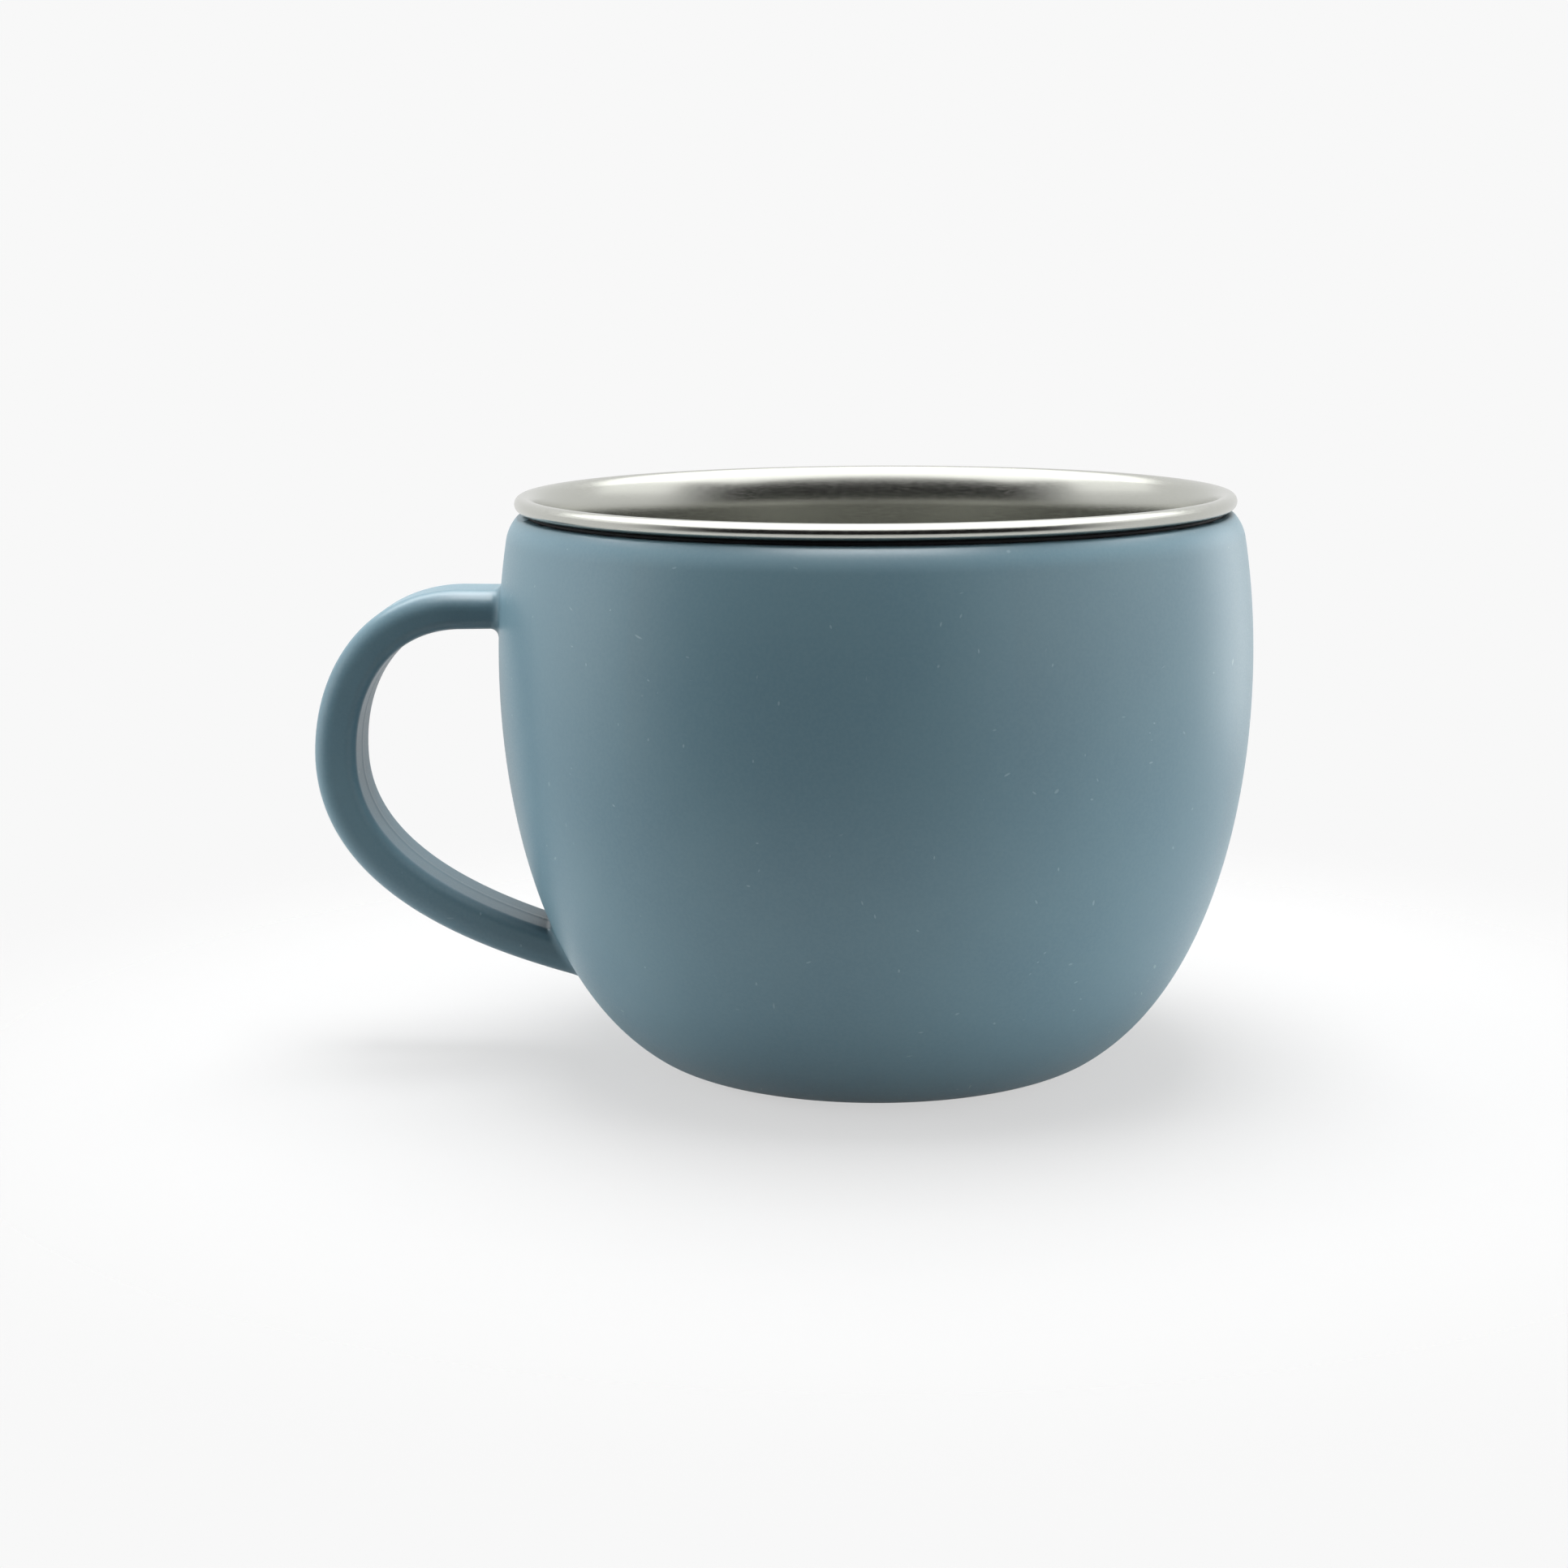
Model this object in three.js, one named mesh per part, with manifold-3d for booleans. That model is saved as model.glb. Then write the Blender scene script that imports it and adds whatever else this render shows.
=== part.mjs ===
// Child's mug: a drawn steel cup with a rolled rim hangs in a moulded shell with a loop handle.
// Millimetres, +Z up. The origin is the centre of the foot, and the handle points along -X.

import * as THREE from 'three';
import { mergeVertices } from 'three/addons/utils/BufferGeometryUtils.js';
import Module from 'manifold-3d';

// Steel cup
const RIM_DIAMETER = 80; // outside of the rolled rim
const RIM_HEIGHT = 64; // top of the rim above the table
const SHEET = 0.5; // thickness of the steel
const CURL_BORE = 0.75; // hollow inside the rolled rim
const CURL_TURN = 235; // degrees that the rim rolls, from its top outwards and back under
const LIP_BEND = 1.3; // bend under the lip, where the wall turns out into the rolled rim
const CUP_DRAFT = 1.5; // degrees that the steel wall leans out
const CUP_CORNER = 24; // outside radius of the bowl-shaped corner between wall and floor

// Seal ring under the rim
const SEAL_SPACE = 0.5; // from the rolled rim down to the top of the shell
const SEAL_CLEARANCE = 0.1; // seal to the rolled rim and to the steel wall
const SEAL_INSET = 1.25; // outside of the seal behind the outside of the rim
const SEAL_ROUNDING = 0.15; // rounded outer edges of the seal

// Shell
const CUP_CLEARANCE = 0.35; // between the steel cup and the shell all round
const SHELL_FLOOR = 2.6; // thickness under the steel cup
const BELLY_BULGE = 2.11; // widest ring past the outside of the rim
const BELLY_DROP = 16.9; // widest ring below the top of the shell
const EDGE_INSET = 0.36; // top edge of the shell behind the outside of the rim
const SHOULDER_RADIUS = 4.7; // rounding under the rim
const SHOULDER_START = 9.3; // degrees that the shell leans in where the shoulder begins
const SHOULDER_END = 45.5; // degrees that it leans in at the top edge
const FOOT_INSET = 18.85; // edge of the flat that the mug stands on behind the outside of the rim
const FOOT_ROUNDING = 9.5; // rounding from the flat into the side
const FOOT_LEAN = 55; // degrees that the side leans out where the rounding ends
const FOOT_FULLNESS = 0.29; // pull of the side's curve at the foot, as a share of its chord
const BELLY_FULLNESS = 0.365; // and at the belly
const SHOULDER_FULLNESS = 0.34; // pull at both ends of the curve between belly and shoulder

// Handle
const HANDLE_WIDTH = 10; // across, from face to face
const ARM_THICKNESS = 4.05; // upper arm, seen from the side
const BOW_THICKNESS = 4.87; // at the outermost point
const ROOT_THICKNESS = 4.32; // lower arm
const OUTER_EDGE = 2.15; // rounding of the edges away from the cup
const INNER_EDGE = 1.2; // rounding of the edges round the finger gap
const FINGER_GAP = 16.15; // clear space between belly and handle
const ARM_DROP = 10.45; // middle of the upper arm below the top of the shell
const ARM_STRAIGHT = 4.4; // straight length of the upper arm outside the shell
const LOWER_ROOT = 11.9; // height at which the lower arm enters the shell
const LOWER_LEAN = 16.6; // degrees that the lower arm slopes down there
const BOW_PLACE = 0.576; // height of the outermost point, as a share of the way from lower to upper arm
const ARM_PULL = 0.64; // pulls of the handle's curve, as shares of its run across or up:
const BOW_PULL_UP = 0.534; // from the upper arm, at the bow both ways, and at the lower root
const BOW_PULL_DOWN = 0.318;
const ROOT_PULL = 0.874;
const ROOT_FILLET = 1; // rounded corner between handle and shell
const ROOT_DEPTH = 9; // length of the handle's ends inside the shell before the hollow is cut

// Facets
const RING_STEPS = 60; // round the mug
const CORNER_STEPS = 4; // round each edge of the handle
const ROOT_ZONE = 16; // ends of the handle with close stations
const ROOT_STEP = 0.6;
const BOW_STEP = 2.2;

// Sizes that follow
const RIM_RADIUS = RIM_DIAMETER / 2;
const CURL_RADIUS = CURL_BORE / 2 + SHEET;
const CURL_CENTRE = new THREE.Vector2(RIM_RADIUS - CURL_RADIUS, RIM_HEIGHT - CURL_RADIUS);
const LIP_CENTRE = new THREE.Vector2(CURL_CENTRE.x, RIM_HEIGHT - SHEET - LIP_BEND);
const SHELL_TOP = RIM_HEIGHT - 2 * CURL_RADIUS - SEAL_SPACE;
const BELLY_RADIUS = RIM_RADIUS + BELLY_BULGE;
const FOOT_RADIUS = RIM_RADIUS - FOOT_INSET;
const BELLY_HEIGHT = SHELL_TOP - BELLY_DROP;
const CUP_UNDERSIDE = SHELL_FLOOR + CUP_CLEARANCE;

const SHELL_COLOUR = 0x61767f;
const STEEL_COLOUR = 0xc9c8c2;
const SEAL_COLOUR = 0x1c1d1f;

const wasm = await Module();
wasm.setup();

// Points on a circular arc, with angles counted from the outward direction towards up
function arc(centre, radius, fromDegrees, toDegrees, steps) {
  const points = [];
  for (let i = 0; i <= steps; i++) {
    const angle = THREE.MathUtils.degToRad(THREE.MathUtils.lerp(fromDegrees, toDegrees, i / steps));
    points.push(new THREE.Vector2(centre.x + radius * Math.cos(angle), centre.y + radius * Math.sin(angle)));
  }
  return points;
}

// Unit vector that leans from upright by the given angle, outwards when positive
function leaning(degrees) {
  const angle = THREE.MathUtils.degToRad(degrees);
  return new THREE.Vector2(Math.sin(angle), Math.cos(angle));
}

// Curve between two points that leaves along one direction and arrives along another
function sweep(from, fromDirection, fromPull, to, toDirection, toPull) {
  const leave = from.clone().addScaledVector(fromDirection, fromPull);
  const arrive = to.clone().addScaledVector(toDirection, -toPull);
  return new THREE.CubicBezierCurve(from, leave, arrive, to);
}

// Closed solid from a geometry whose seams still have double vertices
function solidFrom(geometry) {
  geometry.deleteAttribute('normal');
  geometry.deleteAttribute('uv');
  const merged = mergeVertices(geometry, 1e-4);
  const triangles = [];
  for (let i = 0; i < merged.index.count; i += 3) {
    const [a, b, c] = [merged.index.getX(i), merged.index.getX(i + 1), merged.index.getX(i + 2)];
    if (a !== b && b !== c && c !== a) triangles.push(a, b, c);
  }
  return new wasm.Manifold(new wasm.Mesh({
    numProp: 3,
    vertProperties: new Float32Array(merged.attributes.position.array),
    triVerts: new Uint32Array(triangles),
  }));
}

// Named mesh with its own material, from a finished solid
function pieceFrom(name, solid, look) {
  const mesh = solid.getMesh();
  const geometry = new THREE.BufferGeometry();
  geometry.setAttribute('position', new THREE.BufferAttribute(new Float32Array(mesh.vertProperties), 3));
  geometry.setIndex(new THREE.BufferAttribute(new Uint32Array(mesh.triVerts), 1));
  geometry.computeVertexNormals();
  const piece = new THREE.Mesh(geometry, new THREE.MeshStandardMaterial(look));
  piece.name = name;
  return piece;
}

// Solid of revolution about the mug's axis, from a profile of radius and height
function revolve(profile) {
  const geometry = new THREE.LatheGeometry(profile, RING_STEPS);
  geometry.rotateX(Math.PI / 2);
  return solidFrom(geometry);
}

// The steel wall's line and the corner below it, for a face that lies the given distance
// outside the underside of the sheet
function cupOutside(distance) {
  const along = leaning(CUP_DRAFT);
  const outward = new THREE.Vector2(along.y, -along.x);
  const neck = LIP_CENTRE.clone().addScaledVector(outward, -LIP_BEND);
  const lean = THREE.MathUtils.degToRad(CUP_DRAFT);
  const wallEnd = CUP_UNDERSIDE + CUP_CORNER * (1 - Math.sin(lean));
  const corner = neck.clone().addScaledVector(along, (wallEnd - neck.y) / along.y);
  corner.addScaledVector(outward, -CUP_CORNER);
  return {
    floor: CUP_UNDERSIDE - distance,
    neck: neck.addScaledVector(outward, distance),
    corner: arc(corner, CUP_CORNER + distance, -90, -CUP_DRAFT, 10),
  };
}

// Radius of the steel wall's outer face at a height
function cupRadiusAt(height) {
  const { neck } = cupOutside(0);
  return neck.x + (height - neck.y) * Math.tan(THREE.MathUtils.degToRad(CUP_DRAFT));
}

// Drawn steel cup: outer face up to the lip, round the rolled rim and back down the inner face
function steelCup() {
  const outer = cupOutside(0);
  const inner = cupOutside(-SHEET);
  const curlEnd = 90 - CURL_TURN;
  const lipStart = 180 - CUP_DRAFT;
  const profile = [
    new THREE.Vector2(0, outer.floor),
    ...outer.corner,
    ...arc(LIP_CENTRE, LIP_BEND, lipStart, 90, 4),
    ...arc(CURL_CENTRE, CURL_BORE / 2, 90, curlEnd, 8),
    ...arc(CURL_CENTRE, CURL_RADIUS, curlEnd, 90, 11),
    ...arc(LIP_CENTRE, LIP_BEND + SHEET, 90, lipStart, 5),
    ...inner.corner.reverse(),
    new THREE.Vector2(0, inner.floor),
  ];
  return revolve(profile);
}

// Flat seal ring that lies on the top of the shell, under the rolled rim
function sealRing() {
  const top = SHELL_TOP + SEAL_SPACE - SEAL_CLEARANCE;
  const inside = cupRadiusAt(top) + SEAL_CLEARANCE;
  const outside = RIM_RADIUS - SEAL_INSET;
  const edge = outside - SEAL_ROUNDING;
  const profile = [
    new THREE.Vector2(inside, SHELL_TOP),
    ...arc(new THREE.Vector2(edge, SHELL_TOP + SEAL_ROUNDING), SEAL_ROUNDING, -90, 0, 2),
    ...arc(new THREE.Vector2(edge, top - SEAL_ROUNDING), SEAL_ROUNDING, 0, 90, 2),
    new THREE.Vector2(inside, top),
    new THREE.Vector2(inside, SHELL_TOP),
  ];
  return revolve(profile);
}

// Outer face of the shell, from the edge of the foot up to its top edge
function shellSide() {
  const upright = leaning(0);
  const footCentre = new THREE.Vector2(FOOT_RADIUS, FOOT_ROUNDING);
  const foot = arc(footCentre, FOOT_ROUNDING, -90, -FOOT_LEAN, 6);
  const footEnd = foot[foot.length - 1];
  const belly = new THREE.Vector2(BELLY_RADIUS, BELLY_HEIGHT);
  const topEdge = new THREE.Vector2(RIM_RADIUS - EDGE_INSET, SHELL_TOP);
  const topDirection = leaning(-SHOULDER_END);
  const shoulderCentre = topEdge.clone();
  shoulderCentre.addScaledVector(new THREE.Vector2(topDirection.y, -topDirection.x), -SHOULDER_RADIUS);
  const shoulder = arc(shoulderCentre, SHOULDER_RADIUS, SHOULDER_START, SHOULDER_END, 5);
  const lowerChord = footEnd.distanceTo(belly);
  const upperPull = SHOULDER_FULLNESS * belly.distanceTo(shoulder[0]);
  const lower = sweep(
    footEnd, leaning(FOOT_LEAN), FOOT_FULLNESS * lowerChord,
    belly, upright, BELLY_FULLNESS * lowerChord,
  );
  const upper = sweep(belly, upright, upperPull, shoulder[0], leaning(-SHOULDER_START), upperPull);
  return [...foot, ...lower.getPoints(12).slice(1), ...upper.getPoints(4).slice(1), ...shoulder.slice(1)];
}

const SIDE = shellSide();

// Radius of the shell's outer face at a height
function shellRadiusAt(height) {
  for (let i = 1; i < SIDE.length; i++) {
    if (SIDE[i].y >= height) {
      const share = (height - SIDE[i - 1].y) / (SIDE[i].y - SIDE[i - 1].y);
      return THREE.MathUtils.lerp(SIDE[i - 1].x, SIDE[i].x, share);
    }
  }
  return SIDE[SIDE.length - 1].x;
}

// Height of a point above the shell's outer face, zero inside the shell, and the outward direction there
function aboveShell(point) {
  const flat = new THREE.Vector2(Math.hypot(point.x, point.y), point.z);
  let height = Infinity;
  let slope = null;
  for (let i = 1; i < SIDE.length; i++) {
    const along = SIDE[i].clone().sub(SIDE[i - 1]);
    const share = flat.clone().sub(SIDE[i - 1]).dot(along) / along.lengthSq();
    const nearest = SIDE[i - 1].clone().addScaledVector(along, THREE.MathUtils.clamp(share, 0, 1));
    const distance = flat.distanceTo(nearest);
    if (distance < height) {
      height = distance;
      slope = along.normalize();
    }
  }
  if (flat.x <= shellRadiusAt(flat.y)) height = 0;
  const outward = new THREE.Vector3(point.x, point.y, 0).setLength(slope.y);
  outward.z = -slope.x;
  return { height, outward };
}

// Width by which a rounded corner stands off the handle, at a height above the shell
function filletAt(height) {
  const inside = Math.max(ROOT_FILLET - height, 0);
  return ROOT_FILLET - Math.sqrt(ROOT_FILLET ** 2 - inside ** 2);
}

// Centre line of the handle in the plane of the mug's axis, from the upper root round to the lower one,
// with the length at which its thickness is that of the bow
function handleLine() {
  const armHeight = SHELL_TOP - ARM_DROP;
  const bow = new THREE.Vector2(
    -(BELLY_RADIUS + FINGER_GAP + BOW_THICKNESS / 2),
    THREE.MathUtils.lerp(LOWER_ROOT, armHeight, BOW_PLACE),
  );
  const out = new THREE.Vector2(-1, 0);
  const down = new THREE.Vector2(0, -1);
  const lean = THREE.MathUtils.degToRad(LOWER_LEAN);
  const inward = new THREE.Vector2(Math.cos(lean), -Math.sin(lean));
  const upperRoot = new THREE.Vector2(-shellRadiusAt(armHeight), armHeight);
  const armEnd = upperRoot.clone().addScaledVector(out, ARM_STRAIGHT);
  const lowerRoot = new THREE.Vector2(-shellRadiusAt(LOWER_ROOT), LOWER_ROOT);
  const upperBow = sweep(
    armEnd, out, ARM_PULL * (armEnd.x - bow.x),
    bow, down, BOW_PULL_UP * (armEnd.y - bow.y),
  );
  const lowerBow = sweep(
    bow, down, BOW_PULL_DOWN * (bow.y - lowerRoot.y),
    lowerRoot, inward, ROOT_PULL * (lowerRoot.x - bow.x),
  );
  const line = new THREE.CurvePath();
  line.add(new THREE.LineCurve(upperRoot.clone().addScaledVector(out, -ROOT_DEPTH), armEnd));
  line.add(upperBow);
  line.add(lowerBow);
  line.add(new THREE.LineCurve(lowerRoot, lowerRoot.clone().addScaledVector(inward, ROOT_DEPTH)));
  return { line, bowAt: line.getCurveLengths()[1] };
}

// Lengths along the handle at which its section stands, close together near the roots
function handleStations(length) {
  const stations = [];
  let at = 0;
  while (at < length - ROOT_STEP / 2) {
    stations.push(at);
    at += Math.min(at, length - at) < ROOT_ZONE ? ROOT_STEP : BOW_STEP;
  }
  return [...stations, length];
}

// Section of the handle: points as offsets away from the cup (x) and across (y), each with its normal
function handleSection(thickness) {
  const points = [];
  for (let corner = 0; corner < 4; corner++) {
    const outer = corner === 0 || corner === 3;
    const rounding = outer ? OUTER_EDGE : INNER_EDGE;
    const centre = new THREE.Vector2(
      (outer ? 1 : -1) * (thickness / 2 - rounding),
      (corner < 2 ? 1 : -1) * (HANDLE_WIDTH / 2 - rounding),
    );
    const edge = arc(centre, rounding, corner * 90, corner * 90 + 90, CORNER_STEPS);
    for (const point of edge) points.push({ point, normal: point.clone().sub(centre).normalize() });
  }
  return points;
}

// Loop handle: the section carried along the centre line. At both roots it flares along the shell's face,
// more in the narrow corner of a slanting root and less in the open one
function handleLoop() {
  const { line, bowAt } = handleLine();
  const length = line.getLength();
  const across = new THREE.Vector3(0, 1, 0);
  const positions = [];
  const stations = handleStations(length);
  for (const at of stations) {
    const centre = line.getPointAt(at / length);
    const along = line.getTangentAt(at / length);
    const away = new THREE.Vector3(along.y, 0, -along.x);
    const thickness = at < bowAt
      ? THREE.MathUtils.lerp(ARM_THICKNESS, BOW_THICKNESS, at / bowAt)
      : THREE.MathUtils.lerp(BOW_THICKNESS, ROOT_THICKNESS, (at - bowAt) / (length - bowAt));
    for (const { point, normal } of handleSection(thickness)) {
      const place = new THREE.Vector3(centre.x, 0, centre.y);
      place.addScaledVector(away, point.x).addScaledVector(across, point.y);
      const { height, outward } = aboveShell(place);
      const flare = new THREE.Vector3().addScaledVector(away, normal.x).addScaledVector(across, normal.y);
      const facing = flare.dot(outward);
      flare.addScaledVector(outward, -facing).setLength(filletAt(height) * (1 - facing));
      place.add(flare);
      positions.push(place.x, place.y, place.z);
    }
  }
  const ring = positions.length / 3 / stations.length;
  const last = (stations.length - 1) * ring;
  const triangles = [];
  for (let i = 0; i < ring; i++) {
    const next = (i + 1) % ring;
    for (let start = 0; start < last; start += ring) {
      triangles.push(start + i, start + next, start + ring + next);
      triangles.push(start + i, start + ring + next, start + ring + i);
    }
    triangles.push(0, next, i);
    triangles.push(last, last + i, last + next);
  }
  const geometry = new THREE.BufferGeometry();
  geometry.setAttribute('position', new THREE.Float32BufferAttribute(positions, 3));
  geometry.setIndex(triangles);
  return solidFrom(geometry);
}

// Moulded shell: the outer form joined with the handle, hollowed for the steel cup
function mouldedShell() {
  const form = revolve([new THREE.Vector2(0, 0), ...SIDE, new THREE.Vector2(0, SHELL_TOP)]);
  const hollow = cupOutside(CUP_CLEARANCE);
  const mouth = RIM_HEIGHT + CUP_CLEARANCE;
  const hollowForm = revolve([
    new THREE.Vector2(0, hollow.floor),
    ...hollow.corner,
    new THREE.Vector2(cupRadiusAt(mouth) + CUP_CLEARANCE, mouth),
    new THREE.Vector2(0, mouth),
  ]);
  return form.add(handleLoop()).subtract(hollowForm);
}

const shellLook = { color: SHELL_COLOUR, roughness: 0.75, metalness: 0 };
const steelLook = { color: STEEL_COLOUR, roughness: 0.3, metalness: 1 };
const sealLook = { color: SEAL_COLOUR, roughness: 0.6, metalness: 0 };

const liftOut = new THREE.Group();
liftOut.add(pieceFrom('inner_cup', steelCup(), steelLook));
liftOut.add(pieceFrom('rim_seal', sealRing(), sealLook));

const mug = new THREE.Group();
mug.add(pieceFrom('outer_shell', mouldedShell(), shellLook));
mug.add(liftOut);

export default mug;
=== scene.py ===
# Child's mug: a drawn steel cup with a rolled rim hangs in a matte moulded shell with a loop handle.
# Lengths are in millimetres until a mesh is made. +Z is up and the handle points along -X.

import math

import bmesh
import bpy
from mathutils import Matrix, Vector


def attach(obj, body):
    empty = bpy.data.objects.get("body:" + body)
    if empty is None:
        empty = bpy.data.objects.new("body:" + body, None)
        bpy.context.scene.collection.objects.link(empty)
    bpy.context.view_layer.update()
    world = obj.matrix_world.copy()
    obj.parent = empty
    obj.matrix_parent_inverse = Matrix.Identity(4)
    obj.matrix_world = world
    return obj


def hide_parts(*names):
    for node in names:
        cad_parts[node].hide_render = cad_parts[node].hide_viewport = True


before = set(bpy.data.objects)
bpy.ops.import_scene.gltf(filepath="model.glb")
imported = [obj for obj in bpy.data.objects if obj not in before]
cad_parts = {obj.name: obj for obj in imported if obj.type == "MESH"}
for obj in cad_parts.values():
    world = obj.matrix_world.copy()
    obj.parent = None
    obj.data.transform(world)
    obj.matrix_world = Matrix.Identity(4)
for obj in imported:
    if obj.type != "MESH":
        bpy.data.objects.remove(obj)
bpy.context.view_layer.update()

MM = 0.001

# Steel cup
RIM_RADIUS = 40.0
RIM_HEIGHT = 64.0
SHEET = 0.5
CURL_BORE = 0.75
CURL_TURN = 235
LIP_BEND = 1.3
CUP_DRAFT = 1.5
CUP_CORNER = 24.0
NECK_BEND = 1.5
NECK_LEAN = 23
NECK_DROP = 4.7
NECK_FULLNESS = 0.3
NECK_INSET = 0.22

# Seal ring, whose black stands in partly for the shade in the crevice under the rim
SEAL_SPACE = 0.5
SEAL_CLEARANCE = 0.1
SEAL_INSET = 1.25
SEAL_ROUNDING = 0.15

# Shell
CUP_CLEARANCE = 0.35
SHELL_FLOOR = 2.6
BELLY_BULGE = 2.11
BELLY_DROP = 16.9
EDGE_INSET = 0.36
SHOULDER_RADIUS = 4.7
SHOULDER_START = 9.3
SHOULDER_END = 45.5
FOOT_INSET = 18.85
FOOT_ROUNDING = 9.5
FOOT_LEAN = 55
FOOT_FULLNESS = 0.29
BELLY_FULLNESS = 0.365
SHOULDER_FULLNESS = 0.34
EDGE_ROUNDING = 0.7

# Handle
HANDLE_WIDTH = 10.0
ARM_THICKNESS = 4.05
BOW_THICKNESS = 4.87
ROOT_THICKNESS = 4.32
OUTER_EDGE = 2.15
INNER_EDGE = 1.2
FINGER_GAP = 16.15
ARM_DROP = 10.45
ARM_STRAIGHT = 4.4
LOWER_ROOT = 11.9
LOWER_LEAN = 16.6
BOW_PLACE = 0.576
ARM_PULL = 0.64
BOW_PULL_UP = 0.534
BOW_PULL_DOWN = 0.318
ROOT_PULL = 0.874
ROOT_FILLET = 1.0
ROOT_DEPTH = 9.0
MOULD_LINE_WIDTH = 0.4
MOULD_LINE_HEIGHT = 0.04

# Fineness of the meshes
RING_STEPS = 256
CORNER_STEPS = 40
WALL_STEPS = 12
LIP_UNDER_STEPS = 12
LIP_OVER_STEPS = 16
NECK_STEPS = 24
CURL_INSIDE_STEPS = 20
CURL_OUTSIDE_STEPS = 36
SEAL_STEPS = 6
FOOT_STEPS = 12
LOWER_SIDE_STEPS = 48
UPPER_SIDE_STEPS = 20
SHOULDER_STEPS = 16
TOP_EDGE_STEPS = 12
BOW_LINE_STEPS = 200
HANDLE_EDGE_STEPS = 10
HANDLE_FACE_STEPS = 8
ROOT_ZONE = 16.0
ROOT_STEP = 0.1
BOW_STEP = 0.8
FLOOR_STEPS = 128

# Small distances, and the bends in degrees from which an edge stays sharp
MARGIN = 0.1
AT_AXIS = 1e-6
ON_FACE = 0.01
SHARP_BEND = 50
SHELL_SHARP_BEND = 32

# Sizes that follow
CURL_RADIUS = CURL_BORE / 2 + SHEET
CURL_CENTRE = Vector((RIM_RADIUS - CURL_RADIUS, RIM_HEIGHT - CURL_RADIUS))
LIP_CENTRE = Vector((CURL_CENTRE.x, RIM_HEIGHT - SHEET - LIP_BEND))
SHELL_TOP = RIM_HEIGHT - 2 * CURL_RADIUS - SEAL_SPACE
BELLY_RADIUS = RIM_RADIUS + BELLY_BULGE
FOOT_RADIUS = RIM_RADIUS - FOOT_INSET
BELLY_HEIGHT = SHELL_TOP - BELLY_DROP
CUP_UNDERSIDE = SHELL_FLOOR + CUP_CLEARANCE

# Colours as a screen shows them, from 0 to 255
SHELL_DEEP = (88, 115, 127)
SHELL_PALE = (91, 118, 129)
SHELL_FLECK = (99, 124, 133)
LINT_COLOUR = (150, 170, 174)
BACKDROP = (248, 248, 248)

# Colours as shares of the light that they send back
STEEL_DEEP = (0.48, 0.485, 0.445, 1)
STEEL_PALE = (0.54, 0.545, 0.505, 1)
# The seal's near-black is partly its own colour and partly painted shade, standing in for the shadow in
# the crevice under the rim
SEAL_AND_SHADE_DEEP = (0.004, 0.004, 0.0045, 1)
SEAL_AND_SHADE_PALE = (0.012, 0.012, 0.013, 1)
FLOOR_GREY = (0.46, 0.46, 0.46, 1)

# Patterns and finish: waves, lines or cells in a metre, heights and widths in millimetres, and shares
NOISE_RANGE = (0.3, 0.7)
SHELL_CLOUDS = 70
SHELL_FLECKS = 2600
SHELL_FLECK_SHARE = 0.35
SHELL_GRAIN = 5200
SHELL_GRAIN_STRENGTH = 0.1
SHELL_GRAIN_HEIGHT = 0.03
SHELL_ROUGHNESS = (0.34, 0.4)
SHELL_SHINE = 0.35
LINT_CELLS = ((900, 150, 400), (250, 700, 900))
LINT_BENDS = 120
LINT_BEND_WIDTH = 6.0
LINT_DASH = (0.06, 0.12)
LINT_RARITY = (0.8, 0.86)
LINT_SHARE = 0.4
STEEL_LINES = (1200, 1200, 12000)
STEEL_LINE_STRENGTH = 0.03
STEEL_LINE_HEIGHT = 0.02
STEEL_ROUGHNESS = (0.19, 0.25)
SEAL_GRAIN = 2500
SEAL_ROUGHNESS = (0.6, 0.75)
SEAL_SHINE = 0.15
FLOOR_ROUGHNESS = 0.9

# Studio: the floor's reach, how white it is to the eye and in a mirror, and the light all round
FLOOR_FADE_START = 75.0
FLOOR_FADE_END = 145.0
FLOOR_WHITE_SEEN = 0.6
FLOOR_WHITE_MIRRORED = 0.2
TABLE_LIGHT = (0.15, 0.15, 0.15, 1)
ROOM_LIGHT = (0.04, 0.04, 0.04, 1)
DARK_ROOM = (0.01, 0.01, 0.01, 1)

# Parts of the surroundings, as ranges of a unit direction along Y or Z
TABLE_EDGE = (-0.35, 0.1)
BEHIND_CAMERA = (-0.68, -0.02)
BELOW_CEILING = (0.38, 0.6)
ABOVE_TABLE = (-0.57, -0.37)

# What a lamp does: whether it gives soft light, and whether it shows as a highlight
SOFT_LIGHT = (True, False)
HIGHLIGHT = (False, True)
BOTH = (True, True)

# The photograph's camera
IMAGE_WIDTH = 1932
FOCAL_PIXELS = 3589.97
SENSOR_WIDTH = 36.0
CAMERA_PLACE = Vector((0, -325.3647, 90.4498)) * MM
CAMERA_TARGET = Vector((-10.2928, 0, 30.838)) * MM
CAMERA_ROLL = -0.0068


def mix(a, b, share):
    """Value between two others, at a share of the way."""
    return a + (b - a) * share


def smooth_object(name, mesh, sharp_angle):
    """Object with smooth shading, apart from edges that bend by more than the given degrees."""
    mesh.shade_smooth()
    mesh.set_sharp_from_angle(angle=math.radians(sharp_angle))
    piece = bpy.data.objects.new(name, mesh)
    bpy.context.scene.collection.objects.link(piece)
    return piece


def arc(centre, radius, start, end, steps):
    """Points on a circular arc, with degrees counted from the outward direction towards up."""
    points = []
    for i in range(steps + 1):
        angle = math.radians(mix(start, end, i / steps))
        points.append(Vector((centre.x + radius * math.cos(angle), centre.y + radius * math.sin(angle))))
    return points


def leaning(degrees):
    """Unit vector that leans from upright, outwards when positive."""
    angle = math.radians(degrees)
    return Vector((math.sin(angle), math.cos(angle)))


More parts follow.
